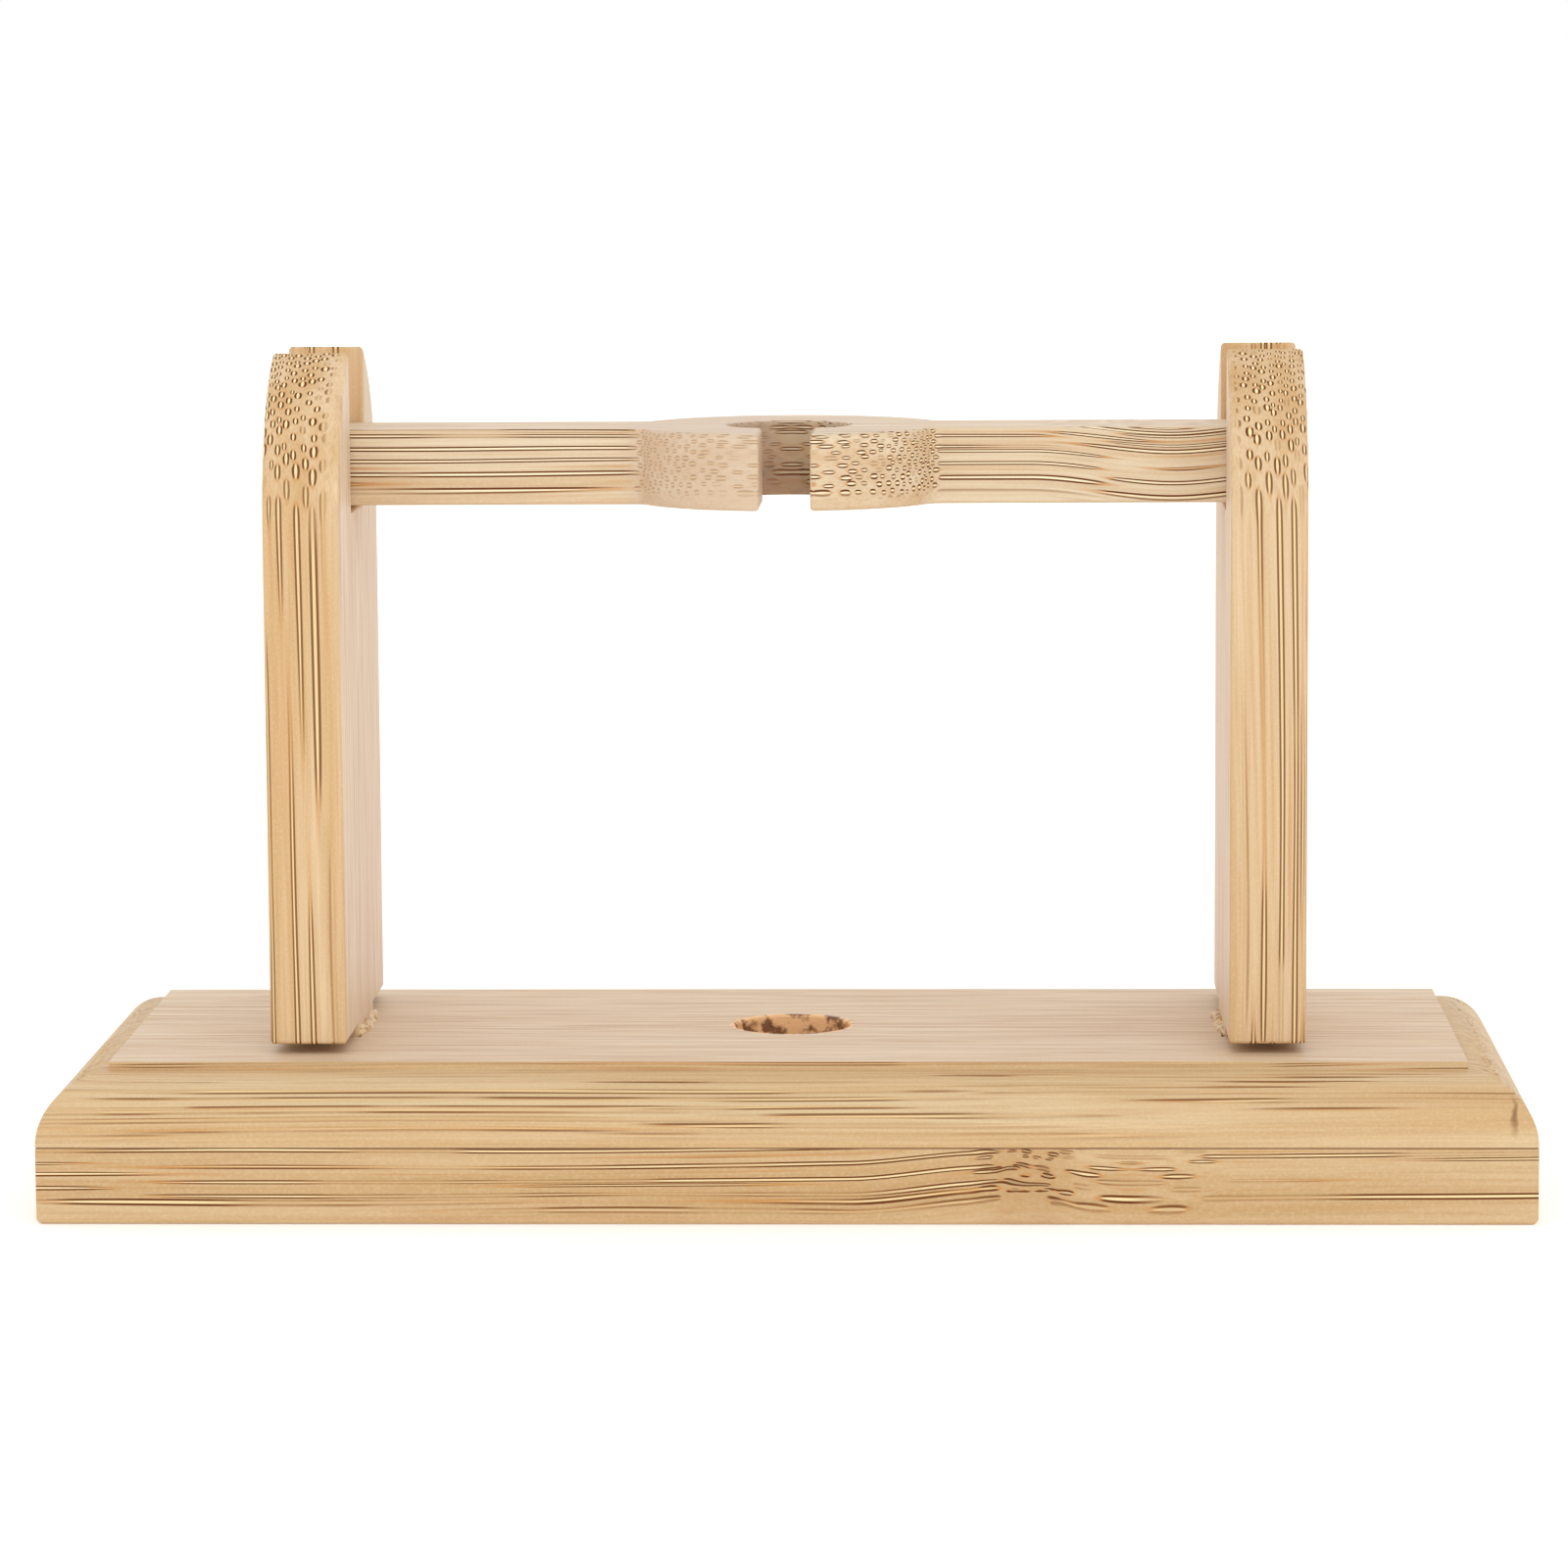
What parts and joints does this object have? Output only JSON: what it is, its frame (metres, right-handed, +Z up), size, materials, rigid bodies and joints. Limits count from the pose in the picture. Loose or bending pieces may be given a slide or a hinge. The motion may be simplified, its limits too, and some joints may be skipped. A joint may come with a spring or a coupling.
{
  "type": "yarn spindle stand",
  "caption": "Small bamboo yarn stand: stepped base board, forked uprights and a lift-out crossbar with a keyhole ring above a spindle socket.",
  "frame": {"origin": "centre of the base's underside", "axes": "+X along the base, +Z up, and -Y towards the open mouth of the ring, which is the front"},
  "size_m": [0.145, 0.057, 0.0832],
  "materials": {
    "bamboo_lower_ply": "sanded bamboo, thin clear coat, fibres along the board",
    "bamboo_upper_ply": "sanded bamboo, thin clear coat, fibres along the board",
    "bamboo_left_upright": "sanded bamboo, thin clear coat, fibres upright, dotted end grain on the head",
    "bamboo_right_upright": "sanded bamboo, thin clear coat, fibres upright, dotted end grain on the head",
    "bamboo_crossbar": "sanded bamboo, thin clear coat, fibres along the bar"
  },
  "bodies": {
    "stand": {"base_lower_ply": "bamboo_lower_ply", "base_upper_ply": "bamboo_upper_ply", "left_upright": "bamboo_left_upright", "right_upright": "bamboo_right_upright"},
    "crossbar": {"crossbar": "bamboo_crossbar"}
  },
  "joints": [
    {"name": "crossbar_lift", "type": "slide", "parent": "stand", "child": "crossbar", "axis": [0, 0, 1], "range_m": [0, 0.02]}
  ]
}
